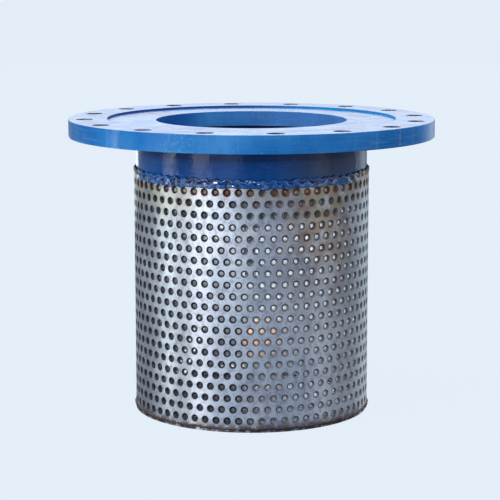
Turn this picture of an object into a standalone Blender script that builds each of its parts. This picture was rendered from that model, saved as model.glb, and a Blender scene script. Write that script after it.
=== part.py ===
"""Foot valve for the end of a suction pipe: a flanged neck with a lift valve in it and a strainer below.

Metres, +Z up. The origin is the centre of the strainer's underside, and the valve's axis is Z.
"""

from math import cos, pi, radians, sin

import bmesh
import bpy
from mathutils import Matrix

# Driving dimensions
OVERALL_HEIGHT = 0.454
GAP = 0.0003  # between pieces that touch

FLANGE_DIAMETER = 0.565
FLANGE_THICKNESS = 0.027
FLANGE_BORE = 0.295
RECESS_DIAMETER = 0.444
RECESS_DEPTH = 0.003
BOLT_CIRCLE = 0.515
BOLT_HOLE = 0.026
BOLT_COUNT = 16
PATTERN_ANGLE = radians(7.6)  # turns the bolt holes, screws, arms and perforations

NECK_DIAMETER = 0.358
NECK_WALL = 0.008
NECK_END = 0.350  # height of the neck's lower end

SHEET_DIAMETER = 0.365
SHEET_THICKNESS = 0.003
SHEET_TOP = 0.3764
HOLE_DIAMETER = 0.0105
HOLES_PER_ROW = 66
ROW_SPACING = 0.01712
LOWEST_ROW = 0.0171
MODELLED_ROWS = range(1, 21, 3)  # the solid carries a part of the perforation
MODELLED_EVERY = 3
BOTTOM_HOLE_RINGS = 3
BOTTOM_HOLE_PITCH = 3 * ROW_SPACING

SEAT_BORE = 0.200
SEAT_RING_DIAMETER = 0.352
SEAT_RING_THICKNESS = 0.018
SEAT_WALL = 0.008
SEAT_LIP_WIDTH = 0.014
SEAT_LIP_HEIGHT = 0.004

DISC_DIAMETER = 0.226
DISC_THICKNESS = 0.012
DISC_CHAMFER = 0.002
SEAL_DIAMETER = 0.224
SEAL_THICKNESS = 0.0054
RETAINER_DIAMETER = 0.188
RETAINER_THICKNESS = 0.005
SCREW_COUNT = 6
SCREW_CIRCLE = 0.150
SCREW_DIAMETER = 0.010
SCREW_HEAD_WIDTH = 0.017
SCREW_HEAD_HEIGHT = 0.0064

STEM_DIAMETER = 0.024
STEM_HEAD_DIAMETER = 0.050
STEM_HEAD_HEIGHT = 0.0063
STEM_END_DIAMETER = 0.020
STEM_END_LENGTH = 0.034
STEM_NUT_WIDTH = 0.036
STEM_NUT_HEIGHT = 0.0177
STEM_WASHER_DIAMETER = 0.044
STOP_NUT_WIDTH = 0.030
STOP_NUT_HEIGHT = 0.016
STOP_WASHER_DIAMETER = 0.048
WASHER_THICKNESS = 0.003
PIN_DIAMETER = 0.004
PIN_LENGTH = 0.034

LIFT = 0.045
MOVING = (
    "valve_disc", "disc_seal", "seal_retainer", "retainer_screw", "guide_stem", "stem_", "stop_", "split_pin",
)
HUB_DIAMETER = 0.052
HUB_HEIGHT = 0.034
HUB_TOP = 0.318
BUSH_WALL = 0.0055
BUSH_COLLAR_DIAMETER = 0.048
BUSH_COLLAR_HEIGHT = 0.003
ARM_THICKNESS = 0.008
ARM_REACH = 0.165
ARM_FOOT_START = 0.112  # radius at which an arm's top meets the seat ring
ARM_HEIGHT = 0.022
ARM_FOOT_HEIGHT = 0.012

# Heights that follow from them
FLANGE_BOTTOM = OVERALL_HEIGHT - FLANGE_THICKNESS
SEAT_RING_TOP = NECK_END - GAP
SEAT_RING_BOTTOM = SEAT_RING_TOP - SEAT_RING_THICKNESS
SEAT_FACE = NECK_END + SEAT_LIP_HEIGHT
SEAL_BOTTOM = SEAT_FACE + GAP
DISC_BOTTOM = SEAL_BOTTOM + SEAL_THICKNESS + GAP
DISC_TOP = DISC_BOTTOM + DISC_THICKNESS
RETAINER_BOTTOM = SEAT_FACE - RETAINER_THICKNESS
HUB_BOTTOM = HUB_TOP - HUB_HEIGHT
STEM_SHOULDER = HUB_BOTTOM - LIFT - GAP

ROUND_LARGE, ROUND_MIDDLE, ROUND_SMALL, ROUND_FINE = 96, 48, 24, 8


def remove_all_objects():
    for old in list(bpy.data.objects):
        bpy.data.objects.remove(old, do_unlink=True)


def new_collection(name):
    made = bpy.data.collections.new(name)
    bpy.context.scene.collection.children.link(made)
    return made


def new_material(name, colour, roughness, metallic):
    made = bpy.data.materials.new(name)
    made.use_nodes = True
    shader = made.node_tree.nodes["Principled BSDF"]
    shader.inputs["Base Color"].default_value = (*colour, 1.0)
    shader.inputs["Roughness"].default_value = roughness
    shader.inputs["Metallic"].default_value = metallic
    return made


def new_part(name, mesh, look):
    mesh.materials.clear()
    mesh.materials.append(new_material(name, *look))
    part = bpy.data.objects.new(name, mesh)
    parts.objects.link(part)
    return part


def turned(name, outline, segments, look, closed=True):
    """A solid turned about Z from (radius, height) points that run down its outer side."""
    mesh = bpy.data.meshes.new(name)
    edges = [(i, i + 1) for i in range(len(outline) - 1)]
    if closed:
        edges.append((len(outline) - 1, 0))
    mesh.from_pydata([(radius, 0, height) for radius, height in outline], edges, [])
    part = new_part(name, mesh, look)
    screw = part.modifiers.new("Turn", "SCREW")
    screw.angle = 2 * pi
    screw.steps = screw.render_steps = segments
    screw.use_merge_vertices = True
    screw.merge_threshold = 0.0001
    return part


def ring(name, outer, inner, bottom, top, segments, look):
    outline = [(outer, top), (outer, bottom), (inner, bottom), (inner, top)]
    return turned(name, outline, segments, look)


def cylinder_into(shape, radius, start, end, segments, placing):
    """Adds a closed cylinder along placing's Z axis, from start to end, to a bmesh."""
    middle = placing @ Matrix.Translation((0, 0, (start + end) / 2))
    bmesh.ops.create_cone(
        shape, cap_ends=True, segments=segments, radius1=radius, radius2=radius,
        depth=end - start, matrix=middle,
    )


def new_cutter(name, shape):
    mesh = bpy.data.meshes.new(name)
    shape.to_mesh(mesh)
    shape.free()
    cutter = bpy.data.objects.new(name, mesh)
    cutters.objects.link(cutter)
    cutter.hide_render = True
    cutter.display_type = "WIRE"
    return cutter


def combine(part, other, operation):
    step = part.modifiers.new(other.name, "BOOLEAN")
    step.operation = operation
    step.solver = "EXACT"
    step.object = other


def cut_holes(part, radius, start, end, segments, placings):
    """Cuts a hole along the Z axis of each placing."""
    shape = bmesh.new()
    for placing in placings:
        cylinder_into(shape, radius, start, end, segments, placing)
    combine(part, new_cutter(part.name + "_holes", shape), "DIFFERENCE")


def on_circle(diameter, count, first=PATTERN_ANGLE):
    """Upright places, evenly round a circle."""
    places = []
    for number in range(count):
        turn = Matrix.Rotation(first + 2 * pi * number / count, 4, "Z")
        places.append(turn @ Matrix.Translation((diameter / 2, 0, 0)))
    return places


def make_flange():
    outer, bore, recess = FLANGE_DIAMETER / 2, FLANGE_BORE / 2, RECESS_DIAMETER / 2
    floor = OVERALL_HEIGHT - RECESS_DEPTH
    outline = [
        (outer, OVERALL_HEIGHT), (outer, FLANGE_BOTTOM), (bore, FLANGE_BOTTOM),
        (bore, floor), (recess, floor), (recess, OVERALL_HEIGHT),
    ]
    flange = turned("flange", outline, ROUND_LARGE, PAINT)
    places = on_circle(BOLT_CIRCLE, BOLT_COUNT)
    cut_holes(flange, BOLT_HOLE / 2, FLANGE_BOTTOM - 0.01, OVERALL_HEIGHT + 0.01, 16, places)


def make_neck():
    outer = NECK_DIAMETER / 2
    ring("neck", outer, outer - NECK_WALL, NECK_END, FLANGE_BOTTOM - GAP, ROUND_LARGE, PAINT)


def make_strainer_shell():
    outer = SHEET_DIAMETER / 2
    shell = ring("strainer_shell", outer, outer - SHEET_THICKNESS, 0, SHEET_TOP, HOLES_PER_ROW, SHEET)
    shell.rotation_euler.z = PATTERN_ANGLE + pi / HOLES_PER_ROW
    step = 2 * pi / HOLES_PER_ROW
    across = Matrix.Rotation(pi / 2, 4, "Y")
    places = []
    for row in MODELLED_ROWS:
        height = Matrix.Translation((0, 0, LOWEST_ROW + row * ROW_SPACING))
        for number in range(0, HOLES_PER_ROW, MODELLED_EVERY):
            angle = PATTERN_ANGLE + (number + (row % 2) / 2) * step
            places.append(height @ Matrix.Rotation(angle, 4, "Z") @ across)
    inner_end, outer_end = outer - 3 * SHEET_THICKNESS, outer + SHEET_THICKNESS
    cut_holes(shell, HOLE_DIAMETER / 2, inner_end, outer_end, 8, places)


def make_strainer_bottom():
    radius = SHEET_DIAMETER / 2 - SHEET_THICKNESS - 2 * GAP
    outline = [(0, SHEET_THICKNESS), (radius, SHEET_THICKNESS), (radius, 0), (0, 0)]
    bottom = turned("strainer_bottom", outline, HOLES_PER_ROW, SHEET, closed=False)
    bottom.rotation_euler.z = PATTERN_ANGLE + pi / HOLES_PER_ROW
    places = []
    for across in range(-BOTTOM_HOLE_RINGS, BOTTOM_HOLE_RINGS + 1):
        for along in range(-BOTTOM_HOLE_RINGS, BOTTOM_HOLE_RINGS + 1):
            if abs(across + along) <= BOTTOM_HOLE_RINGS:
                x = BOTTOM_HOLE_PITCH * (across + along / 2)
                y = BOTTOM_HOLE_PITCH * along * sin(pi / 3)
                places.append(Matrix.Translation((x, y, 0)))
    cut_holes(bottom, HOLE_DIAMETER / 2, -SHEET_THICKNESS, 2 * SHEET_THICKNESS, 8, places)


def make_seat():
    bore, collar = SEAT_BORE / 2, SEAT_BORE / 2 + SEAT_LIP_WIDTH
    body = bore + SEAT_WALL
    outer = SEAT_RING_DIAMETER / 2
    ring("seat_ring", outer, body + GAP, SEAT_RING_BOTTOM, SEAT_RING_TOP, ROUND_LARGE, PAINT)
    outline = [
        (collar, SEAT_FACE), (collar, NECK_END), (body, NECK_END),
        (body, SEAT_RING_BOTTOM), (bore, SEAT_RING_BOTTOM), (bore, SEAT_FACE),
    ]
    turned("seat_insert", outline, ROUND_LARGE, BRONZE)


def arm_pair(turn):
    """One plate across the hub: a flat outline, extruded, with a foot at each end under the seat ring."""
    top = SEAT_RING_BOTTOM - GAP
    inner_top = HUB_TOP - 0.002
    rise = top - inner_top
    half = [
        (ARM_REACH, top - ARM_FOOT_HEIGHT), (ARM_REACH, top), (ARM_FOOT_START, top),
        (ARM_FOOT_START - rise, inner_top),
    ]
    lower = [(HUB_DIAMETER, inner_top - ARM_HEIGHT)]
    outline = lower + half + [(-x, z) for x, z in reversed(half)] + [(-x, z) for x, z in lower]
    curve = bpy.data.curves.new("arm_pair", "CURVE")
    curve.dimensions = "2D"
    curve.fill_mode = "BOTH"
    curve.extrude = ARM_THICKNESS / 2
    spline = curve.splines.new("POLY")
    spline.points.add(len(outline) - 1)
    spline.use_cyclic_u = True
    for point, (x, z) in zip(spline.points, outline):
        point.co = (x, z, 0, 1)
    flat = bpy.data.objects.new("arm_pair_outline", curve)
    cutters.objects.link(flat)
    flat.rotation_euler = (pi / 2, 0, turn)
    bpy.context.view_layer.update()
    evaluated = flat.evaluated_get(bpy.context.evaluated_depsgraph_get())
    mesh = bpy.data.meshes.new_from_object(evaluated)
    shape = bmesh.new()
    shape.from_mesh(mesh)
    bmesh.ops.remove_doubles(shape, verts=shape.verts, dist=0.00001)
    bmesh.ops.recalc_face_normals(shape, faces=shape.faces)
    plate = new_cutter("arm_pair", shape)
    plate.matrix_world = flat.matrix_world.copy()
    bpy.data.objects.remove(flat, do_unlink=True)
    return plate


def make_guide():
    bore = STEM_DIAMETER / 2 + GAP
    bush = bore + BUSH_WALL
    hub = HUB_DIAMETER / 2
    hub_outline = [(0, HUB_TOP), (hub, HUB_TOP), (hub, HUB_BOTTOM), (0, HUB_BOTTOM)]
    spider = turned("guide_spider", hub_outline, ROUND_SMALL, STAINLESS, closed=False)
    for turn in (PATTERN_ANGLE + pi / 4, PATTERN_ANGLE - pi / 4):
        combine(spider, arm_pair(turn), "UNION")
    cut_holes(spider, bush + GAP, HUB_BOTTOM - 0.01, HUB_TOP + 0.01, ROUND_SMALL, [Matrix()])
    collar_bottom = HUB_TOP + GAP
    collar = BUSH_COLLAR_DIAMETER / 2
    bush_outline = [
        (collar, collar_bottom + BUSH_COLLAR_HEIGHT), (collar, collar_bottom), (bush, collar_bottom),
        (bush, HUB_BOTTOM), (bore, HUB_BOTTOM), (bore, collar_bottom + BUSH_COLLAR_HEIGHT),
    ]
    turned("guide_bush", bush_outline, ROUND_SMALL, BRONZE)


def make_disc():
    hole = STEM_DIAMETER / 2 + GAP
    outer = DISC_DIAMETER / 2
    outline = [
        (outer - DISC_CHAMFER, DISC_TOP), (outer, DISC_TOP - DISC_CHAMFER), (outer, DISC_BOTTOM),
        (hole, DISC_BOTTOM), (hole, DISC_TOP),
    ]
    disc = turned("valve_disc", outline, ROUND_MIDDLE, DARK_EPOXY)
    seal_top = SEAL_BOTTOM + SEAL_THICKNESS
    seal = ring("disc_seal", SEAL_DIAMETER / 2, hole, SEAL_BOTTOM, seal_top, ROUND_MIDDLE, RUBBER)
    retainer = ring(
        "seal_retainer", RETAINER_DIAMETER / 2, hole, RETAINER_BOTTOM, SEAT_FACE, ROUND_MIDDLE, STAINLESS
    )
    places = on_circle(SCREW_CIRCLE, SCREW_COUNT)
    for plate in (disc, seal, retainer):
        start, end = RETAINER_BOTTOM - 0.01, DISC_TOP + 0.01
        cut_holes(plate, SCREW_DIAMETER / 2 + GAP, start, end, ROUND_FINE, places)


def hexagon_radius(width):
    return width / 2 / cos(pi / 6)


def make_screws():
    head_top = RETAINER_BOTTOM - GAP
    for number, place in enumerate(on_circle(SCREW_CIRCLE, SCREW_COUNT), 1):
        head = bmesh.new()
        radius = hexagon_radius(SCREW_HEAD_WIDTH)
        cylinder_into(head, radius, head_top - SCREW_HEAD_HEIGHT, head_top, 6, Matrix())
        mesh = bpy.data.meshes.new(f"retainer_screw_{number}")
        head.to_mesh(mesh)
        head.free()
        screw = new_part(f"retainer_screw_{number}", mesh, STAINLESS)
        screw.matrix_world = place
        shank = bmesh.new()
        cylinder_into(shank, SCREW_DIAMETER / 2, head_top - 0.003, DISC_TOP - GAP, ROUND_FINE, place)
        combine(screw, new_cutter(f"retainer_screw_{number}_shank", shank), "UNION")


def make_nut(name, width, bottom, top, hole):
    shape = bmesh.new()
    cylinder_into(shape, hexagon_radius(width), bottom, top, 6, Matrix())
    mesh = bpy.data.meshes.new(name)
    shape.to_mesh(mesh)
    shape.free()
    nut = new_part(name, mesh, STAINLESS)
    cut_holes(nut, hole, bottom - 0.01, top + 0.01, ROUND_SMALL, [Matrix()])


def make_stem():
    head, body, end = STEM_HEAD_DIAMETER / 2, STEM_DIAMETER / 2, STEM_END_DIAMETER / 2
    head_bottom = DISC_TOP + GAP
    head_top = head_bottom + STEM_HEAD_HEIGHT
    tip = STEM_SHOULDER - STEM_END_LENGTH
    outline = [
        (0, head_top), (head - 0.0015, head_top), (head, head_top - 0.0015), (head, head_bottom),
        (body, head_bottom), (body, STEM_SHOULDER), (end, STEM_SHOULDER), (end, tip + 0.002),
        (end - 0.002, tip), (0, tip),
    ]
    stem = turned("guide_stem", outline, ROUND_SMALL, STAINLESS, closed=False)

    washer_top = RETAINER_BOTTOM - GAP
    washer_bottom = washer_top - WASHER_THICKNESS
    hole = body + GAP
    ring("stem_washer", STEM_WASHER_DIAMETER / 2, hole, washer_bottom, washer_top, ROUND_SMALL, STAINLESS)
    nut_top = washer_bottom - GAP
    make_nut("stem_nut", STEM_NUT_WIDTH, nut_top - STEM_NUT_HEIGHT, nut_top, hole)

    stop_top = STEM_SHOULDER - GAP
    stop_bottom = stop_top - WASHER_THICKNESS
    stop_hole = end + GAP
    ring("stop_washer", STOP_WASHER_DIAMETER / 2, stop_hole, stop_bottom, stop_top, ROUND_SMALL, STAINLESS)
    stop_nut_top = stop_bottom - GAP
    stop_nut_bottom = stop_nut_top - STOP_NUT_HEIGHT
    make_nut("stop_nut", STOP_NUT_WIDTH, stop_nut_bottom, stop_nut_top, stop_hole)

    pin_height = stop_nut_bottom - GAP - PIN_DIAMETER
    lying = Matrix.Translation((0, 0, pin_height)) @ Matrix.Rotation(pi / 2, 4, "Y")
    cut_holes(stem, PIN_DIAMETER / 2 + GAP, -PIN_LENGTH, PIN_LENGTH, ROUND_FINE, [lying])
    shape = bmesh.new()
    cylinder_into(shape, PIN_DIAMETER / 2, -PIN_LENGTH / 2, PIN_LENGTH / 2, ROUND_FINE, lying)
    mesh = bpy.data.meshes.new("split_pin")
    shape.to_mesh(mesh)
    shape.free()
    new_part("split_pin", mesh, STAINLESS)


# Colour, roughness and metallic value of each kind of surface
PAINT = ((0.022, 0.13, 0.42), 0.32, 0.0)
SHEET = ((0.56, 0.58, 0.62), 0.30, 1.0)
STAINLESS = ((0.60, 0.61, 0.63), 0.25, 1.0)
DARK_EPOXY = ((0.10, 0.11, 0.12), 0.50, 0.2)
BRONZE = ((0.55, 0.36, 0.15), 0.35, 1.0)
RUBBER = ((0.018, 0.018, 0.018), 0.75, 0.0)

remove_all_objects()
parts = new_collection("foot_valve")
cutters = new_collection("foot_valve_cutters")

make_flange()
make_neck()
make_strainer_shell()
make_strainer_bottom()
make_seat()
make_guide()
make_disc()
make_screws()
make_stem()

for part in parts.objects:
    part.data.shade_smooth()
    part.data.set_sharp_from_angle(angle=radians(30))

disc_lift = bpy.data.objects.new("disc_lift", None)  # carries everything that rises off the seat
parts.objects.link(disc_lift)
for part in parts.objects:
    if part.name.startswith(MOVING):
        part.parent = disc_lift
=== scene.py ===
"""Looks of the foot valve: glossy blue enamel, perforated stainless sheet and welds, in a studio light."""

from math import cos, hypot, pi, radians, sin

import bmesh
import bpy
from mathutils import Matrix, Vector, noise


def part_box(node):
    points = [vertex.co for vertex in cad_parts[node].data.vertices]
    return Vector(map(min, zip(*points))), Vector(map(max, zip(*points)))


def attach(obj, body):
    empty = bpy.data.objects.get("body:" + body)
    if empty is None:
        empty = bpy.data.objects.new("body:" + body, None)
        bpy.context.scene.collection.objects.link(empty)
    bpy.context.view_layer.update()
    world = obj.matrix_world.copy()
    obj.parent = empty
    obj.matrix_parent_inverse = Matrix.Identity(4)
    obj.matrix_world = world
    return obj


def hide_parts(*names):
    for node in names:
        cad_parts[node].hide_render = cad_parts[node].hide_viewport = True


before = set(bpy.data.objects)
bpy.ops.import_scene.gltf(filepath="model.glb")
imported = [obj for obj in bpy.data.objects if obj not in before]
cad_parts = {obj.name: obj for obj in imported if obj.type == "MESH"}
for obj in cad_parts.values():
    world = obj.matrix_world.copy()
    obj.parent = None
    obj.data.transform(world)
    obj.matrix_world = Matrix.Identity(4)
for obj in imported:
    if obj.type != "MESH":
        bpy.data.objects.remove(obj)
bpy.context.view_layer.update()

# Sizes of the fixed pieces, read from the frame
flange_low, flange_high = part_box("flange")
neck_low, neck_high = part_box("neck")
shell_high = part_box("strainer_shell")[1]
bottom_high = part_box("strainer_bottom")[1]

FLANGE_RADIUS = flange_high.x
FLANGE_TOP, FLANGE_BOTTOM = flange_high.z, flange_low.z
FLANGE_BORE = 0.1475
RECESS_RADIUS = 0.222
RECESS_DEPTH = 0.003
BOLT_CIRCLE, BOLT_HOLE, BOLT_COUNT = 0.2575, 0.013, 16
PATTERN_ANGLE = radians(7.6)  # turns the bolt holes and the perforations as the photo shows them
NECK_RADIUS = neck_high.x
NECK_WALL = 0.008
SHEET_RADIUS = 0.1825
SHEET_THICKNESS = 0.003
SHEET_TOP = shell_high.z
HOLES_PER_ROW, ROWS = 66, 21
HOLE_RADIUS = 0.0030  # of the narrow part, behind the drawn-in edge
DRAWN_EDGE = 0.0028  # the punch draws the sheet's face into each hole over this width
DRAWN_DEPTH = 0.0016
ROW_SPACING, LOWEST_ROW = 0.01712, 0.0171
SOFT_EDGE = 0.0003
DEEPEST_DENT = 0.0005
DISC_MARGIN = 0.012  # the plain edge of the strainer's bottom
PAINT_EDGE = 0.3650  # height at which the paint on the sheet ends
PAINT_MIDDLE, PAINT_REACH = -0.006, 0.166  # x of that paint's middle, and how far it goes to each side
NECK_PAINT_EDGE = 0.3690  # height at which the paint on the neck ends
SEAM_ANGLE = radians(-40.6)  # where the flange's plate was joined
SHEET_SEAM_ANGLE = radians(112)  # where the rolled sheet was joined, out of the photo's sight
GLINT_FLECKS_X = -0.100  # the middle of the painted highlight flecks on the flange's side
PATCH_X, PATCH_Z = 0.014, 0.066  # the bright orange patch on the sheet's inner face
PATCH_CORE, PATCH_FADE = 0.0004, 0.0017  # squares of the distances at which it starts to fade and ends
ROUND = 192  # segments of a large turned piece


# ---------------------------------------------------------------- mesh helpers

def new_piece(name, mesh, material, body="root"):
    piece = bpy.data.objects.new(name, mesh)
    bpy.context.scene.collection.objects.link(piece)
    piece.data.materials.append(material)
    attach(piece, body)
    return piece


def mesh_from(name, shape, sharp):
    """Makes a mesh whose edges stay hard above so many degrees, or as they were set if sharp is None."""
    mesh = bpy.data.meshes.new(name)
    shape.to_mesh(mesh)
    shape.free()
    if sharp is not None:
        mesh.shade_smooth()
        mesh.set_sharp_from_angle(angle=radians(sharp))
    return mesh


def apply_modifiers(piece):
    """Replaces a piece's mesh with what its modifiers make of it."""
    bpy.context.view_layer.update()
    evaluated = piece.evaluated_get(bpy.context.evaluated_depsgraph_get())
    mesh = bpy.data.meshes.new_from_object(evaluated)
    piece.modifiers.clear()
    piece.data = mesh


def turned_mesh(name, outline, segments):
    """A closed outline of (radius, height) points turned about Z."""
    shape = bmesh.new()
    rings = []
    for step in range(segments):
        angle = 2 * pi * step / segments
        rings.append([shape.verts.new((r * cos(angle), r * sin(angle), z)) for r, z in outline])
    for step, ring in enumerate(rings):
        after = rings[(step + 1) % segments]
        for i in range(len(outline)):
            j = (i + 1) % len(outline)
            shape.faces.new((ring[i], after[i], after[j], ring[j]))
    bmesh.ops.recalc_face_normals(shape, faces=shape.faces)
    return mesh_from(name, shape, sharp=35)


def bead_mesh(name, path, radius_at, closed=True):
    """A weld bead: a tube along path, whose radius changes from point to point."""
    sides = 10
    shape = bmesh.new()
    count = len(path)
    rings = []
    for i, here in enumerate(path):
        if closed:
            before, after = path[i - 1], path[(i + 1) % count]
        else:
            before, after = path[max(i - 1, 0)], path[min(i + 1, count - 1)]
        along = (after - before).normalized()
        outward = Vector((here.x, here.y, 0)).normalized()
        side = along.cross(outward).normalized()
        outward = side.cross(along).normalized()
        radius = radius_at(i)
        ring = []
        for k in range(sides):
            angle = 2 * pi * k / sides
            ring.append(shape.verts.new(here + radius * (cos(angle) * outward + sin(angle) * side)))
        rings.append(ring)
    last = count if closed else count - 1
    for i in range(last):
        ring, after = rings[i], rings[(i + 1) % count]
        for k in range(sides):
            m = (k + 1) % sides
            shape.faces.new((ring[k], after[k], after[m], ring[m]))
    if not closed:
        shape.faces.new(rings[0])
        shape.faces.new(rings[-1][::-1])
    bmesh.ops.recalc_face_normals(shape, faces=shape.faces)
    return mesh_from(name, shape, sharp=60)


# ---------------------------------------------------------------- shader helpers

class Shader:
    """Builds one node material, with short calls for the nodes that these materials use."""

    def __init__(self, name):
        self.material = bpy.data.materials.new(name)
        self.material.use_nodes = True
        self.tree = self.material.node_tree
        self.surface = self.tree.nodes["Principled BSDF"]
        self.place = self.tree.nodes.new("ShaderNodeTexCoord").outputs["Object"]

    def link(self, source, target):
        if hasattr(source, "is_output"):
            self.tree.links.new(source, target)
        else:
            target.default_value = source

    def math(self, operation, a, b=0.0):
        node = self.tree.nodes.new("ShaderNodeMath")
        node.operation = operation
        self.link(a, node.inputs[0])
        self.link(b, node.inputs[1])
        return node.outputs[0]

    def times(self, product, *others):
        for other in others:
            product = self.math("MULTIPLY", product, other)
        return product

    def apart(self, value, middle):
        """How far a value is from the middle, on either side."""
        return self.math("ABSOLUTE", self.math("SUBTRACT", value, middle))

    def radius(self, x, y):
        return self.math("SQRT", self.math("ADD", self.times(x, x), self.times(y, y)))

    def stretched(self, x, y, z):
        node = self.tree.nodes.new("ShaderNodeMapping")
        node.inputs["Scale"].default_value = (x, y, z)
        self.link(self.place, node.inputs["Vector"])
        return node.outputs["Vector"]

    def noise(self, scale, detail=4.0, roughness=0.55, where=None, distortion=0.0):
        node = self.tree.nodes.new("ShaderNodeTexNoise")
        node.inputs["Scale"].default_value = scale
        node.inputs["Detail"].default_value = detail
        node.inputs["Roughness"].default_value = roughness
        node.inputs["Distortion"].default_value = distortion
        self.link(where or self.place, node.inputs["Vector"])
        return node.outputs["Fac"]

    def range(self, value, low, high, to_low=0.0, to_high=1.0, smooth=True):
        """Goes from to_low to to_high as the value goes from low to high, and stays there beyond them."""
        node = self.tree.nodes.new("ShaderNodeMapRange")
        if smooth:
            node.interpolation_type = "SMOOTHSTEP"
        self.link(value, node.inputs["Value"])
        limits = {"From Min": low, "From Max": high, "To Min": to_low, "To Max": to_high}
        for name, number in limits.items():
            self.link(number, node.inputs[name])
        return node.outputs["Result"]

    def ramp(self, value, stops):
        node = self.tree.nodes.new("ShaderNodeValToRGB")
        elements = node.color_ramp.elements
        while len(elements) < len(stops):
            elements.new(0.5)
        for element, (position, colour) in zip(elements, stops):
            element.position = position
            element.color = (*colour, 1.0)
        self.link(value, node.inputs["Fac"])
        return node.outputs["Color"]

    def mix(self, factor, a, b):
        node = self.tree.nodes.new("ShaderNodeMix")
        node.data_type = "RGBA"
        self.link(factor, node.inputs[0])
        for colour, index in ((a, 6), (b, 7)):
            self.link((*colour, 1.0) if isinstance(colour, tuple) else colour, node.inputs[index])
        return node.outputs[2]

    def axes(self):
        """X, Y and height on the piece, in metres."""
        node = self.tree.nodes.new("ShaderNodeSeparateXYZ")
        self.link(self.place, node.inputs[0])
        return node.outputs

    def attribute(self, name):
        node = self.tree.nodes.new("ShaderNodeAttribute")
        node.attribute_name = name
        return node.outputs["Fac"]

    def bump(self, height, distance, strength, after=None):
        node = self.tree.nodes.new("ShaderNodeBump")
        node.inputs["Distance"].default_value = distance
        node.inputs["Strength"].default_value = strength
        self.link(height, node.inputs["Height"])
        if after is not None:
            self.link(after, node.inputs["Normal"])
        return node.outputs["Normal"]

    def set(self, **inputs):
        for name, value in inputs.items():
            self.link(value, self.surface.inputs[name.replace("_", " ")])


# ---------------------------------------------------------------- enamel

# The deep, usual and pale tone of each coat
FLANGE_BLUE = ((0.004, 0.082, 0.270), (0.012, 0.135, 0.380), (0.040, 0.200, 0.470))
NECK_BLUE = ((0.001, 0.062, 0.260), (0.003, 0.088, 0.335), (0.014, 0.120, 0.380))
BAND_BLUE = ((0.001, 0.072, 0.290), (0.001, 0.105, 0.380), (0.006, 0.150, 0.460))
# painted light: the seat ring's coat is a pale blue-grey, kept light where little light reaches it through
# the holes
LIT_PALE_BLUE = ((0.220, 0.300, 0.440), (0.320, 0.400, 0.520), (0.450, 0.500, 0.580))
WORN_BLUE = ((0.020, 0.070, 0.240), (0.050, 0.120, 0.340), (0.120, 0.220, 0.460))
# painted shade: a near-black blue for the fillet weld under the flange, standing in for the shade there
PAINTED_SHADE_BLUE = ((0.001, 0.012, 0.050), (0.002, 0.018, 0.075), (0.004, 0.030, 0.100))


def enamel_colour(s, deep, usual, pale):
    """Blue enamel, deeper in places, with chalky runs and specks and fine brush lines round the object."""
    chalk = tuple(0.03 + 1.1 * c for c in pale)
    lines = s.noise(1, 3, 0.6, s.stretched(14, 14, 420))
    mottling = s.noise(70, 4, 0.7)
    specks = s.noise(240, 2, 0.6)
    runs = s.noise(1, 4, 0.6, s.stretched(70, 70, 9))
    colour = s.ramp(s.noise(9, 3, 0.5), [(0.3, deep), (0.55, usual), (0.75, pale)])
    colour = s.mix(s.range(lines, 0.50, 0.72, 0.0, 0.7), colour, pale)
    colour = s.mix(s.range(mottling, 0.50, 0.30, 0.0, 0.25), colour, deep)
    colour = s.mix(s.range(specks, 0.63, 0.73, 0.0, 0.45), colour, chalk)
    return s.mix(s.range(runs, 0.58, 0.78, 0.0, 0.45), colour, chalk)


def enamel_bump(s, coarse=1.0):
    """Orange peel over slow waves."""
    waves = s.bump(s.noise(55, 3, 0.5), 0.0010 * coarse, 0.5)
    return s.bump(s.noise(380, 3, 0.6), 0.00022 * coarse, 0.5, waves)


def enamel_gloss(s, smooth, rough):
    """A roughness that wanders between two values."""
    return s.range(s.noise(30, 4, 0.6), 0.3, 0.75, smooth, rough)


def paint_reach(s, x):
    """1 where the paint runs down over the sheet, 0 at the two sides, where it stops short."""
    wander = s.range(s.noise(50, 2, 0.5), 0.3, 0.7, -0.006, 0.006)
    return s.range(s.math("ADD", s.apart(x, PAINT_MIDDLE), wander), PAINT_REACH, PAINT_REACH - 0.006)


def band_paint(s, x):
    """Colour and ripples of the thick enamel run over the weld: painted shade in its hollows, dirty on the
    right.
    """
    ripples = s.noise(95, 1, 0.35)
    # painted shade darkens the valleys of the ripples
    hollows = s.range(ripples, 0.48, 0.38, 0.0, 0.75)
    colour = s.mix(hollows, enamel_colour(s, *BAND_BLUE), (0.001, 0.012, 0.075))
    dirt = s.times(s.range(x, 0.05, 0.135), s.range(s.noise(70, 3, 0.6), 0.40, 0.58, 0.15, 0.80))
    return s.mix(dirt, colour, (0.030, 0.034, 0.040)), ripples


def make_enamel(name, blues, smooth, rough):
    """Enamel that looks the same all over its piece."""
    s = Shader(name)
    gloss = enamel_gloss(s, smooth, rough)
    s.set(Base_Color=enamel_colour(s, *blues), Roughness=gloss, Normal=enamel_bump(s))
    return s.material


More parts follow.
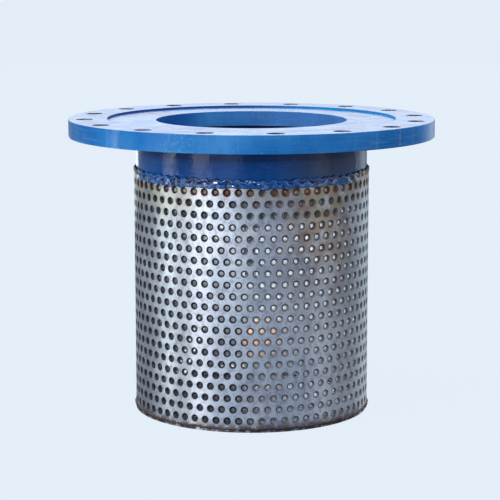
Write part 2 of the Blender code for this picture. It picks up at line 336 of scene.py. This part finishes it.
def make_flange_look():
    """Enamel with painted shade and highlight round the recess's wall, painted reflection and shade in the
    bore, and painted highlight flecks on a part of its side.
    """
    s = Shader("flange_enamel")
    x, y = s.axes()[:2]
    radius = s.radius(x, y)
    in_bore = s.range(radius, FLANGE_BORE + 0.0016, FLANGE_BORE + 0.0006)
    at_wall = s.range(s.apart(radius, RECESS_RADIUS), 0.0016, 0.0009)
    on_side = s.range(radius, FLANGE_RADIUS - 0.0010, FLANGE_RADIUS - 0.0004)
    colour = enamel_colour(s, *FLANGE_BLUE)
    # painted reflection in the bore grows to the right, and painted shade deepens its left end
    colour = s.mix(s.times(in_bore, s.range(x, -0.12, 0.12, 0.03, 0.10)), colour, (0.36, 0.34, 0.62))
    colour = s.mix(s.times(in_bore, s.range(x, -0.05, -0.13, 0.0, 0.7)), colour, (0.002, 0.050, 0.260))
    # painted shade along the recess's wall on the left, and a painted cyan highlight on its right
    line = s.mix(s.range(x, -0.05, 0.15), (0.002, 0.032, 0.180), (0.006, 0.180, 0.440))
    colour = s.mix(s.times(at_wall, 0.95), colour, line)
    # painted highlight: light flecks on a patch of the flange's side
    glint_patch = s.times(on_side, s.range(y, -0.15, -0.20), s.range(s.apart(x, GLINT_FLECKS_X), 0.036, 0.006))
    flecks = s.times(glint_patch, s.range(s.noise(210, 4, 0.75), 0.50, 0.70, 0.0, 0.42))
    colour = s.mix(flecks, colour, (0.16, 0.44, 0.66))
    gloss = s.math("MAXIMUM", enamel_gloss(s, 0.12, 0.26), s.times(at_wall, 0.55))
    s.set(Base_Color=colour, Roughness=gloss, Normal=enamel_bump(s, 0.7))
    s.surface.inputs["Specular IOR Level"].default_value = 0.15
    return s.material


def make_neck_look():
    """Enamel down to the sheet's edge, with painted shade close under the flange, and bare rusting steel on
    the outer face below it.
    """
    s = Shader("neck_enamel")
    x, y, z = s.axes()
    edge = s.math("ADD", z, s.range(s.noise(45, 3, 0.6), 0.2, 0.8, -0.002, 0.002))
    outside = s.range(s.radius(x, y), NECK_RADIUS - 0.0030, NECK_RADIUS - 0.0020)
    bare = s.times(s.range(edge, NECK_PAINT_EDGE + 0.001, NECK_PAINT_EDGE - 0.001), outside)
    rust = s.ramp(
        s.noise(85, 4, 0.65),
        [(0.36, (0.05, 0.030, 0.022)), (0.44, (0.28, 0.11, 0.04)),
         (0.52, (0.48, 0.29, 0.16)), (0.60, (0.50, 0.47, 0.44))],
    )
    # the paint is greyer on the right-hand side, and painted shade deepens it close under the flange
    grey = s.times(s.range(x, 0.02, 0.12), s.range(s.noise(16, 3, 0.5), 0.3, 0.6, 0.45, 0.95))
    paint = s.mix(grey, enamel_colour(s, *NECK_BLUE), (0.045, 0.060, 0.085))
    paint = s.mix(s.range(z, 0.400, 0.408, 0.0, 0.55), paint, (0.002, 0.014, 0.065))
    s.set(
        Base_Color=s.mix(bare, paint, rust), Normal=enamel_bump(s, 2.3),
        Roughness=s.range(bare, 0.0, 1.0, enamel_gloss(s, 0.10, 0.21), 0.7, smooth=False),
    )
    s.surface.inputs["Specular IOR Level"].default_value = 0.32
    return s.material


def make_band_look():
    """Glossy enamel run over the weld between neck and sheet, and the burnt weld where the paint stops."""
    s = Shader("band_enamel")
    x = s.axes()[0]
    painted = paint_reach(s, x)
    paint, ripples = band_paint(s, x)
    weld = s.ramp(
        s.noise(130, 4, 0.65),
        [(0.35, (0.03, 0.028, 0.03)), (0.5, (0.16, 0.15, 0.15)), (0.7, (0.45, 0.45, 0.46))],
    )
    s.set(
        Base_Color=s.mix(painted, weld, paint), Normal=s.bump(ripples, 0.0045, 0.7, enamel_bump(s)),
        Roughness=s.range(painted, 0.0, 1.0, 0.45, enamel_gloss(s, 0.07, 0.16), smooth=False),
        Metallic=s.range(painted, 0.0, 1.0, 0.8, 0.0, smooth=False),
    )
    return s.material


# ---------------------------------------------------------------- perforated steel

def rolled_steel(s, x, z, tone, streaks):
    """The outer face before any heat: rolling streaks, dark mottling, and yellow at the upper left."""
    steel = s.ramp(tone, [(0.3, (0.40, 0.435, 0.485)), (0.6, (0.49, 0.525, 0.57)), (0.8, (0.55, 0.57, 0.59))])
    steel = s.mix(s.range(streaks, 0.35, 0.8, 0.0, 0.5), steel, (0.30, 0.31, 0.33))
    mottling = s.noise(110, 4, 0.75)
    steel = s.mix(s.range(mottling, 0.46, 0.64, 0.0, 0.62), steel, (0.20, 0.22, 0.26))
    yellow = s.times(s.range(x, -0.075, -0.105), s.range(z, 0.29, 0.345))
    yellow = s.times(yellow, s.range(s.noise(40, 3, 0.6), 0.4, 0.6, 0.1, 0.7))
    return s.mix(yellow, steel, (0.46, 0.45, 0.33))


def heat_tint(s, steel, x, z, heated, blotches):
    """Tint from the welder's heat: strongest just under the paint, fading down the right-hand side."""
    near_top = s.times(s.range(z, 0.325, 0.366), s.range(x, -0.03, 0.06, 0.25, 1.0))
    amount = s.times(s.math("MAXIMUM", heated, near_top), s.range(blotches, 0.34, 0.54, 0.10, 0.72))
    tint = s.ramp(
        s.noise(30, 3, 0.6),
        [(0.34, (0.17, 0.15, 0.06)), (0.46, (0.25, 0.19, 0.09)), (0.55, (0.20, 0.09, 0.05)),
         (0.64, (0.13, 0.08, 0.08)), (0.76, (0.15, 0.18, 0.25))],
    )
    return s.mix(amount, steel, tint)


def burnt_foot(s, steel, z):
    """A burnt band along the bottom weld, olive in places and violet in others."""
    burnt = s.times(s.range(z, 0.020, 0.003), s.range(s.noise(75, 4, 0.65), 0.38, 0.54, 0.10, 1.0))
    shades = s.ramp(s.noise(40, 2, 0.5), [(0.42, (0.070, 0.065, 0.035)), (0.56, (0.050, 0.034, 0.050))])
    return s.mix(burnt, steel, shades)


def rust_at_holes(s, steel, z, right, blotches):
    """Rust creeps out of some of the uppermost holes, and on the right out of lower ones too."""
    near = s.attribute("near")      # rises from 0 between the holes to 1 at a hole's edge
    creep = s.times(s.range(near, 0.45, 1.0), s.range(s.noise(38, 2, 0.5), 0.50, 0.58))
    aged = s.times(s.range(z, 0.20, 0.32), right, s.range(blotches, 0.42, 0.55))
    creep = s.times(creep, s.math("MAXIMUM", s.range(z, 0.330, 0.352), aged))
    return s.mix(s.times(creep, 0.85), steel, (0.20, 0.085, 0.03))


def inner_wall(s, x, y, z, streaks):
    """The inner face: darkened with painted shade on the left, lightened with painted light on the right, and
    a bright orange patch low at the back.
    """
    wall = s.mix(s.range(streaks, 0.35, 0.7), (0.45, 0.475, 0.51), (0.33, 0.35, 0.38))
    # painted shade on the left of the inner face, and painted light on its right
    wall = s.mix(s.range(x, 0.03, -0.06, 0.0, 0.75), wall, (0.10, 0.11, 0.13))
    wall = s.mix(s.range(x, 0.03, 0.10, 0.0, 0.6), wall, (0.60, 0.67, 0.82))
    across, up = s.math("SUBTRACT", x, PATCH_X), s.math("SUBTRACT", z, PATCH_Z)
    squared = s.math("ADD", s.times(across, across), s.times(up, up))
    patch = s.times(s.range(squared, PATCH_FADE, PATCH_CORE), s.range(y, 0.0, 0.05))
    return s.mix(patch, wall, (0.86, 0.56, 0.40))


def make_sheet_steel():
    """Rolled stainless sheet: rolling tone, heat tint, rust, punched edges darkened by painted shade, and
    enamel over its top.
    """
    s = Shader("perforated_steel")
    x, y, z = s.axes()
    rim = s.attribute("rim")        # 1 on a hole's drawn-in edge, less on its wall, and 0 on the sheet
    inside = s.range(s.radius(x, y), SHEET_RADIUS - 0.0018, SHEET_RADIUS - 0.0024)
    tone = s.noise(7, 3, 0.5)
    streaks = s.noise(1, 5, 0.6, s.stretched(160, 160, 5))
    blotches = s.noise(26, 4, 0.6, distortion=1.2)
    right = s.times(s.range(x, 0.02, 0.085), s.range(x, 0.165, 0.125))
    heated = s.times(s.range(z, 0.10, 0.34), right)
    steel = rolled_steel(s, x, z, tone, streaks)
    steel = heat_tint(s, steel, x, z, heated, blotches)
    steel = burnt_foot(s, steel, z)
    steel = rust_at_holes(s, steel, z, right, blotches)
    steel = s.mix(inside, steel, inner_wall(s, x, y, z, streaks))

    edge = s.math("ADD", z, s.range(s.noise(45, 3, 0.6), 0.2, 0.8, -0.0024, 0.0024))
    painted = s.times(s.range(edge, PAINT_EDGE - 0.0006, PAINT_EDGE + 0.0006), paint_reach(s, x))
    paint, ripples = band_paint(s, x)
    colour = s.mix(painted, steel, paint)
    # painted shade darkens the punched edges, most on the left, and browner where the heat tint reaches
    wandering = s.math("ADD", x, s.range(tone, 0.2, 0.8, -0.02, 0.02))
    edge_shade = s.times(rim, s.range(wandering, -0.04, 0.03, 0.97, 0.74))
    edge_shade_colour = s.mix(heated, (0.010, 0.010, 0.016), (0.040, 0.027, 0.026))
    colour = s.mix(edge_shade, colour, edge_shade_colour)

    rough = s.range(s.noise(18, 4, 0.6), 0.3, 0.75, 0.34, 0.48)
    rough = s.math("MAXIMUM", rough, s.times(inside, 0.58))
    rough = s.math("ADD", rough, s.times(rim, 0.25))
    rough = s.range(painted, 0.0, 1.0, rough, 0.08, smooth=False)
    dents = s.bump(s.noise(24, 3, 0.5), 0.0018, 0.45)
    thick_paint = s.bump(s.times(painted, ripples), 0.0060, 0.8, dents)
    grain = s.bump(s.noise(1, 3, 0.6, s.stretched(900, 900, 40)), 0.00006, 0.5, thick_paint)
    metallic = s.times(s.range(painted, 0.0, 1.0, 1.0, 0.0), s.range(rim, 0.0, 1.0, 1.0, 0.85))
    s.set(Base_Color=colour, Metallic=metallic, Roughness=rough, Normal=grain)
    return s.material


# ---------------------------------------------------------------- other materials

def make_metal(name, light, dark, metallic, rough_low, rough_high):
    """A metal whose tone and roughness wander, with fine tool marks."""
    s = Shader(name)
    colour = s.mix(s.range(s.noise(35, 4, 0.6), 0.35, 0.7), dark, light)
    rough = s.range(s.noise(80, 4, 0.6), 0.3, 0.75, rough_low, rough_high)
    marks = s.noise(1, 3, 0.6, s.stretched(300, 300, 300))
    s.set(Base_Color=colour, Roughness=rough, Normal=s.bump(marks, 0.00005, 0.5))
    s.surface.inputs["Metallic"].default_value = metallic
    return s.material


def make_burnt_weld():
    """Bare weld metal, scorched brown and violet."""
    s = Shader("burnt_weld")
    colour = s.ramp(
        s.noise(130, 4, 0.65),
        [(0.3, (0.020, 0.016, 0.020)), (0.48, (0.070, 0.045, 0.036)),
         (0.60, (0.055, 0.036, 0.070)), (0.76, (0.26, 0.25, 0.25))],
    )
    rough = s.range(s.noise(90, 3, 0.6), 0.3, 0.7, 0.35, 0.6)
    s.set(Base_Color=colour, Roughness=rough, Normal=s.bump(s.noise(260, 3, 0.6), 0.0006, 0.6))
    s.surface.inputs["Metallic"].default_value = 0.85
    return s.material


def make_rubber():
    s = Shader("black_rubber")
    colour = s.mix(s.range(s.noise(60, 4, 0.6), 0.35, 0.7), (0.012, 0.012, 0.012), (0.030, 0.029, 0.028))
    rough = s.range(s.noise(90, 3, 0.6), 0.3, 0.7, 0.6, 0.8)
    s.set(Base_Color=colour, Roughness=rough, Normal=s.bump(s.noise(700, 2, 0.5), 0.0001, 0.5))
    return s.material


def make_floor_look():
    """A pale studio sweep that glows evenly, so that it stays one tone."""
    s = Shader("pale_floor")
    tone = s.range(s.noise(1.5, 2, 0.5), 0.3, 0.7)
    s.set(Base_Color=s.mix(tone, (0.010, 0.011, 0.012), (0.013, 0.014, 0.015)))
    s.surface.inputs["Roughness"].default_value = 0.9
    s.surface.inputs["Specular IOR Level"].default_value = 0.0
    s.surface.inputs["Emission Color"].default_value = (0.762, 0.841, 0.924, 1.0)
    s.surface.inputs["Emission Strength"].default_value = 1.0
    return s.material


# ---------------------------------------------------------------- flange and neck

def make_flange(material, hole_material):
    """A turned plate, drilled through for its bolts, with softened edges."""
    floor = FLANGE_TOP - RECESS_DEPTH
    outline = [
        (FLANGE_RADIUS, FLANGE_TOP), (FLANGE_RADIUS, FLANGE_BOTTOM), (FLANGE_BORE, FLANGE_BOTTOM),
        (FLANGE_BORE, floor), (RECESS_RADIUS, floor), (RECESS_RADIUS, FLANGE_TOP),
    ]
    plate = turned_mesh("flange_plate", outline, ROUND)
    flange = new_piece("flange_plate", plate, material)
    drill = bmesh.new()
    for number in range(BOLT_COUNT):
        angle = PATTERN_ANGLE + 2 * pi * number / BOLT_COUNT
        made = bmesh.ops.create_cone(
            drill, cap_ends=True, segments=48, radius1=BOLT_HOLE, radius2=BOLT_HOLE, depth=0.06,
        )
        middle = Vector((BOLT_CIRCLE * cos(angle), BOLT_CIRCLE * sin(angle), FLANGE_TOP - 0.012))
        bmesh.ops.translate(drill, verts=made["verts"], vec=middle)
    mesh = bpy.data.meshes.new("drill")
    drill.to_mesh(mesh)
    drill.free()
    mesh.materials.append(hole_material)
    cutter = bpy.data.objects.new("drill", mesh)
    bpy.context.scene.collection.objects.link(cutter)
    cut = flange.modifiers.new("Bolt holes", "BOOLEAN")
    cut.object = cutter
    cut.material_mode = "TRANSFER"  # the drilled walls keep their own bare look
    apply_modifiers(flange)
    bpy.data.objects.remove(cutter)
    bevel = flange.modifiers.new("Softened edges", "BEVEL")
    bevel.width = 0.0012
    bevel.segments = 3
    bevel.limit_method = "ANGLE"
    bevel.angle_limit = radians(40)
    bevel.harden_normals = True
    apply_modifiers(flange)
    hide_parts("flange")


def make_neck(material):
    inner, chamfer = NECK_RADIUS - NECK_WALL, 0.001
    outline = [
        (NECK_RADIUS, neck_high.z), (NECK_RADIUS, neck_low.z + chamfer),
        (NECK_RADIUS - chamfer, neck_low.z), (inner + chamfer, neck_low.z),
        (inner, neck_low.z + chamfer), (inner, neck_high.z),
    ]
    tube = turned_mesh("neck_tube", outline, ROUND)
    neck = new_piece("neck_tube", tube, material)
    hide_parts("neck")


# ---------------------------------------------------------------- strainer

def on_sheet(angle, height, radius):
    return (radius * cos(angle), radius * sin(angle), height)


# Sixteen points round a cell, in quarter pitches from its hole, and the hole's points match them one to one
CELL = [(2, 0), (2, 1), (2, 2), (1, 2), (0, 2), (-1, 2), (-2, 2), (-2, 1),
        (-2, 0), (-2, -1), (-2, -2), (-1, -2), (0, -2), (1, -2), (2, -2), (2, -1)]


def perforated_sheet_mesh():
    """The sheet: bricks round a cylinder, each with one punched hole. The top row is cut in half."""
    shape = bmesh.new()
    rim_layer = shape.faces.layers.float.new("rim")
    near_layer = shape.verts.layers.float.new("near")
    pitch = 2 * pi / HOLES_PER_ROW
    around = 4 * HOLES_PER_ROW  # quarter pitches in one turn
    outer, inner = SHEET_RADIUS, SHEET_RADIUS - SHEET_THICKNESS
    shared = {}

    def angle_at(u):
        return PATTERN_ANGLE + u / 4 * pitch

    def height_at(v):
        return min(LOWEST_ROW + v / 4 * ROW_SPACING, SHEET_TOP)

    def shared_point(u, v, height, radius):
        key = (u % around, v, radius)
        if key not in shared:
            shared[key] = shape.verts.new(on_sheet(angle_at(u), height, radius))
        return shared[key]

    def grid_point(u, v, radius):
        return shared_point(u, v, height_at(v), radius)

    def hole_ring(u, v, grow, radius, points):
        ring = []
        for j in points:
            turn = 2 * pi * j / 16
            angle = angle_at(u) + (HOLE_RADIUS + grow) * cos(turn) / outer
            height = height_at(v) + (HOLE_RADIUS + grow) * sin(turn)
            vert = shape.verts.new(on_sheet(angle, height, radius))
            vert[near_layer] = 1.0
            ring.append(vert)
        return ring

    def strip(a, b, closed, rim):
        count = len(a)
        for j in range(count if closed else count - 1):
            k = (j + 1) % count
            shape.faces.new((a[j], a[k], b[k], b[j]))[rim_layer] = rim

    for row in range(ROWS + 1):
        whole = row < ROWS
        points = list(range(16)) if whole else list(range(8, 17))
        for column in range(HOLES_PER_ROW):
            u, v = 4 * column + 2 * (row % 2), 4 * row
            edge = [(u + CELL[j % 16][0], v + CELL[j % 16][1]) for j in points]
            outside = [grid_point(a, b, outer) for a, b in edge]
            inside = [grid_point(a, b, inner) for a, b in edge]
            lip = hole_ring(u, v, DRAWN_EDGE, outer, points)
            mouth = hole_ring(u, v, 0.0, outer - DRAWN_DEPTH, points)
            back = hole_ring(u, v, SOFT_EDGE, inner, points)
            strip(outside, lip, whole, 0.0)
            strip(lip, mouth, whole, 1.0)
            strip(mouth, back, whole, 0.8)
            strip(back, inside, whole, 0.0)
            if not whole:  # the cut top edge, on both sides of the half hole
                for end in (0, -1):
                    loop = [outside[end], lip[end], mouth[end], back[end], inside[end]]
                    shape.faces.new(loop if end == 0 else loop[::-1])
    # the plain band under the lowest row
    for u in range(around):
        if (u, -2, outer) in shared and ((u + 1) % around, -2, outer) in shared:
            corners = [(u, outer), (u + 1, outer), (u, inner), (u + 1, inner)]
            top = [grid_point(position, -2, radius) for position, radius in corners]
            foot = [shared_point(position, "foot", 0.0, radius) for position, radius in corners]
            shape.faces.new((top[0], foot[0], foot[1], top[1]))
            shape.faces.new((top[2], top[3], foot[3], foot[2]))
            shape.faces.new((foot[0], foot[2], foot[3], foot[1]))
    bmesh.ops.recalc_face_normals(shape, faces=shape.faces)
    for edge in shape.edges:  # the drawn-in edges stay crisp
        sides = {face[rim_layer] for face in edge.link_faces}
        edge.smooth = len(sides) < 2 and edge.calc_face_angle(0) < radians(40)
    # the sheet was rolled and punched, so it isn't quite round or flat, but its foot stays where it is
    for vert in shape.verts:
        radius = hypot(vert.co.x, vert.co.y)
        spot = Vector((vert.co.x, vert.co.y, vert.co.z * 0.6)) * 9
        push = -DEEPEST_DENT * (0.5 + 0.5 * noise.noise(spot))
        fade = min(1.0, vert.co.z / 0.03)
        vert.co.x *= 1 + push * fade / radius
        vert.co.y *= 1 + push * fade / radius
    return mesh_from("strainer_sheet", shape, sharp=None)


def perforated_disc_mesh():
    """The strainer's bottom: a flat disc with punched holes on a triangular grid."""
    radius = bottom_high.x
    curve = bpy.data.curves.new("bottom_outline", "CURVE")
    curve.dimensions = "2D"
    curve.fill_mode = "BOTH"
    curve.extrude = SHEET_THICKNESS / 2 - SOFT_EDGE
    curve.bevel_depth = SOFT_EDGE
    curve.bevel_resolution = 1

    def circle(x, y, r, points):
        spline = curve.splines.new("POLY")
        spline.points.add(points - 1)
        spline.use_cyclic_u = True
        for j, point in enumerate(spline.points):
            angle = 2 * pi * j / points
            point.co = (x + r * cos(angle), y + r * sin(angle), 0, 1)

    circle(0, 0, radius - SOFT_EDGE, 2 * HOLES_PER_ROW)
    step = ROW_SPACING
    reach = int(radius / step) + 1
    for across in range(-reach, reach + 1):
        for along in range(-2 * reach, 2 * reach + 1):
            x, y = step * (across + along / 2), step * along * sin(pi / 3)
            if hypot(x, y) < radius - DISC_MARGIN:
                circle(x, y, HOLE_RADIUS + SOFT_EDGE, 16)
    outline = bpy.data.objects.new("bottom_outline", curve)
    bpy.context.scene.collection.objects.link(outline)
    bpy.context.view_layer.update()
    evaluated = outline.evaluated_get(bpy.context.evaluated_depsgraph_get())
    mesh = bpy.data.meshes.new_from_object(evaluated)
    bpy.data.objects.remove(outline)
    shape = bmesh.new()
    shape.from_mesh(mesh)
    bmesh.ops.remove_doubles(shape, verts=shape.verts, dist=0.00001)
    bmesh.ops.translate(shape, verts=shape.verts, vec=(0, 0, SHEET_THICKNESS / 2))
    bmesh.ops.recalc_face_normals(shape, faces=shape.faces)
    return mesh_from("strainer_disc", shape, sharp=30)


def make_strainer(material):
    shell = new_piece("strainer_sheet", perforated_sheet_mesh(), material)
    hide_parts("strainer_shell")
    disc = new_piece("strainer_disc", perforated_disc_mesh(), material)
    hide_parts("strainer_bottom")


# ---------------------------------------------------------------- welds

def ring_path(radius, height, count, wobble=0.0, scallop=0.0):
    """A ring that wanders up and down by wobble, and drops between the sheet's topmost holes by scallop."""
    path = []
    for i in range(count):
        angle = PATTERN_ANGLE + 2 * pi * i / count
        spot = Vector((cos(angle), sin(angle), height))
        depth = scallop * (1 + 0.8 * noise.noise(spot * 9))
        drop = depth * (0.5 + 0.5 * cos(HOLES_PER_ROW * (angle - PATTERN_ANGLE) - pi))
        shift = wobble * noise.noise(spot * 14)
        path.append(Vector(on_sheet(angle, height - drop + shift, radius)))
    return path


def upright_path(angle, radius, low, high, count):
    return [Vector(on_sheet(angle, low + (high - low) * i / (count - 1), radius)) for i in range(count)]


def lumpy(base, swing, seed):
    """A bead's radius: it swells and thins as the welder's hand moved."""
    return lambda i: base * (1 + swing * noise.noise(Vector((i * 0.37, seed, 0))) + 0.10 * sin(i * 1.9))


def make_welds(worn, shade_coat, band, burnt):
    # the fillet under the flange is coloured with painted shade
    fillet = ring_path(NECK_RADIUS + 0.0015, FLANGE_BOTTOM - 0.0020, 720)
    bead = bead_mesh("flange_weld", fillet, lumpy(0.0038, 0.25, 1))
    new_piece("flange_weld", bead, shade_coat)
    top = ring_path(SHEET_RADIUS - SHEET_THICKNESS / 2 - 0.0006, SHEET_TOP + 0.0012, 1320, 0.0014, 0.0028)
    bead = bead_mesh("strainer_weld", top, lumpy(0.0025, 0.30, 2))
    new_piece("strainer_weld", bead, band)
    foot = ring_path(SHEET_RADIUS - 0.0013, 0.0054, 1100, 0.0016)
    bead = bead_mesh("bottom_weld", foot, lumpy(0.0024, 0.75, 3))
    new_piece("bottom_weld", bead, burnt)
    seam = upright_path(SHEET_SEAM_ANGLE, SHEET_RADIUS - 0.0012, 0.004, PAINT_EDGE - 0.002, 200)
    bead = bead_mesh("sheet_seam", seam, lumpy(0.0018, 0.2, 4), closed=False)
    new_piece("sheet_seam", bead, burnt)
    joint = upright_path(SEAM_ANGLE, FLANGE_RADIUS - 0.0014, FLANGE_BOTTOM + 0.0022, FLANGE_TOP - 0.0022, 28)
    bead = bead_mesh("flange_seam", joint, lumpy(0.0024, 0.4, 5), closed=False)
    new_piece("flange_seam", bead, worn)


# ---------------------------------------------------------------- inner pieces

def dress_inner_nodes(looks):
    """The CAD nodes keep their shape, and get their material and softened edges."""
    for name, material in looks.items():
        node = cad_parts[name]
        node.data.materials.clear()
        node.data.materials.append(material)
        weld = node.modifiers.new("Weld", "WELD")
        weld.merge_threshold = 0.00001
        bevel = node.modifiers.new("Softened edges", "BEVEL")
        bevel.width = 0.0004
        bevel.segments = 2
        bevel.limit_method = "ANGLE"
        bevel.angle_limit = radians(40)


# ---------------------------------------------------------------- floor, light and camera

ZENITH = (1.30, 1.36, 1.44)
HORIZON = (1.72, 1.76, 1.80)
DIM_FRONT = (0.165, 0.235, 0.385)
DIM_BACK = (0.27, 0.295, 0.34)


def soft_light(name, place, target, width, height, power, colour=(1, 1, 1)):
    data = bpy.data.lights.new(name, "AREA")
    data.shape = "RECTANGLE"
    data.size, data.size_y = width, height
    data.energy = power
    data.color = colour
    lamp = bpy.data.objects.new(name, data)
    bpy.context.scene.collection.objects.link(lamp)
    lamp.location = place
    lamp.rotation_euler = (Vector(target) - Vector(place)).to_track_quat("-Z", "Y").to_euler()
    lamp.visible_camera = False
    return lamp


def make_floor():
    """A floor that sweeps up into a dome. It only shows: the light comes from the world and the lamps."""
    reach, steps = 9.0, 24
    outline = [(0.0, 0.0), (reach, 0.0)]
    for i in range(1, steps + 1):
        rise = pi / 2 * i / steps
        outline.append((reach * cos(rise), reach * sin(rise)))
    mesh = turned_mesh("floor", outline, 96)
    floor = bpy.data.objects.new("floor", mesh)
    bpy.context.scene.collection.objects.link(floor)
    mesh.materials.append(make_floor_look())
    floor.visible_diffuse = floor.visible_glossy = floor.visible_shadow = False


def make_world():
    """A soft room: bright above the horizon, and dim below it, where the front is bluer than the back."""
    world = bpy.data.worlds.new("studio")
    bpy.context.scene.world = world
    world.use_nodes = True
    nodes, links = world.node_tree.nodes, world.node_tree.links
    place = nodes.new("ShaderNodeTexCoord")
    split = nodes.new("ShaderNodeSeparateXYZ")
    links.new(place.outputs["Generated"], split.inputs[0])

    def blend(axis, low, high):
        level = nodes.new("ShaderNodeMapRange")
        level.interpolation_type = "SMOOTHSTEP"
        links.new(split.outputs[axis], level.inputs["Value"])
        level.inputs["From Min"].default_value = low
        level.inputs["From Max"].default_value = high
        mix = nodes.new("ShaderNodeMix")
        mix.data_type = "RGBA"
        links.new(level.outputs["Result"], mix.inputs[0])
        return mix

    below = blend("Y", -1.0, 0.2)
    above = blend("Z", 0.15, 0.55)
    room = blend("Z", 0.01, 0.13)
    for mix, first, second in ((below, DIM_FRONT, DIM_BACK), (above, HORIZON, ZENITH)):
        mix.inputs[6].default_value = (*first, 1.0)
        mix.inputs[7].default_value = (*second, 1.0)
    links.new(below.outputs[2], room.inputs[6])
    links.new(above.outputs[2], room.inputs[7])
    links.new(room.outputs[2], nodes["Background"].inputs["Color"])


def make_studio():
    make_floor()
    make_world()
    bpy.context.scene.view_settings.view_transform = "Standard"
    middle = (0, 0, 0.20)
    over_edge = (-0.26, 0, 0.42)
    strips = [
        soft_light("key_strip", (-0.72, -0.68, 0.12), middle, 0.26, 0.9, 2.0),
        soft_light("key_wide", (-1.05, -0.90, 0.20), middle, 1.00, 0.9, 0.26),
        soft_light("key_blue", (-0.42, -1.10, 0.12), middle, 0.40, 0.9, 1.1, (0.78, 0.88, 1.0)),
        soft_light("high_glint", (-0.45, -0.85, 0.72), (0, 0, 0.37), 0.50, 0.14, 6.5),
        soft_light("left_strip", (-1.15, -0.16, 0.15), middle, 0.06, 0.8, 1.8, (0.90, 0.99, 1.0)),
        soft_light("back_strip", (0.78, 0.78, 0.10), middle, 0.45, 0.9, 0.95, (0.78, 0.91, 1.0)),
        soft_light("rim_strip", (-0.465, 0.997, 0.235), over_edge, 0.27, 0.17, 0.43, (0.86, 0.98, 1.0)),
        soft_light("right_strip", (1.02, -0.45, 0.12), middle, 0.26, 0.9, 0.44, (0.97, 0.97, 1.0)),
        soft_light("right_fill", (0.80, -0.95, 0.20), middle, 0.70, 0.9, 0.36, (0.8, 0.9, 1.0)),
    ]
    for lamp in strips:  # they draw highlights, and leave the paint's own tone to the room
        lamp.visible_diffuse = False
    side = soft_light("side_window", (-1.15, -0.90, 1.05), (0, 0, 0.44), 0.9, 0.9, 12.0)
    side.visible_glossy = False
    soft_light("inside_glow", (0.06, -0.02, 0.17), (0.13, 0.10, 0.18), 0.06, 0.18, 0.75)


def make_camera():
    """The pinhole camera that was fitted to the photo's rims, placed in flange radii."""
    data = bpy.data.cameras.new("camera")
    camera = bpy.data.objects.new("camera", data)
    bpy.context.scene.collection.objects.link(camera)
    unit = FLANGE_RADIUS
    data.sensor_width = 36
    data.lens = 127.4
    data.clip_end = 200
    camera.location = (-0.0082 * unit, -9.687 * unit, FLANGE_TOP + 0.863 * unit)
    camera.rotation_euler = (radians(90 - 9.38), 0, 0)
    bpy.context.scene.camera = camera


worn_enamel = make_enamel("worn_enamel", WORN_BLUE, 0.3, 0.5)
lit_pale_enamel = make_enamel("lit_pale_enamel", LIT_PALE_BLUE, 0.35, 0.55)
painted_shade_enamel = make_enamel("painted_shade_enamel", PAINTED_SHADE_BLUE, 0.3, 0.5)
sheet_steel = make_sheet_steel()
stainless = make_metal("turned_stainless", (0.60, 0.61, 0.62), (0.42, 0.43, 0.45), 1.0, 0.22, 0.38)
plain_steel = make_metal("plain_steel", (0.60, 0.60, 0.61), (0.42, 0.42, 0.44), 0.75, 0.45, 0.62)
drilled_steel = make_metal("drilled_steel", (0.16, 0.14, 0.17), (0.035, 0.035, 0.06), 0.5, 0.45, 0.65)
dark_steel = make_metal("dark_epoxy", (0.055, 0.058, 0.062), (0.030, 0.032, 0.036), 0.2, 0.38, 0.55)
bronze = make_metal("turned_bronze", (0.58, 0.38, 0.16), (0.42, 0.26, 0.10), 1.0, 0.25, 0.42)

make_flange(make_flange_look(), drilled_steel)
make_neck(make_neck_look())
make_strainer(sheet_steel)
make_welds(worn_enamel, painted_shade_enamel, make_band_look(), make_burnt_weld())

inner = {"seat_ring": lit_pale_enamel, "seat_insert": bronze, "guide_spider": plain_steel, "guide_bush": bronze,
         "valve_disc": dark_steel, "disc_seal": make_rubber()}
for node_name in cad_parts:
    if node_name not in ("flange", "neck", "strainer_shell", "strainer_bottom"):
        inner.setdefault(node_name, stainless)
dress_inner_nodes(inner)

make_studio()
make_camera()
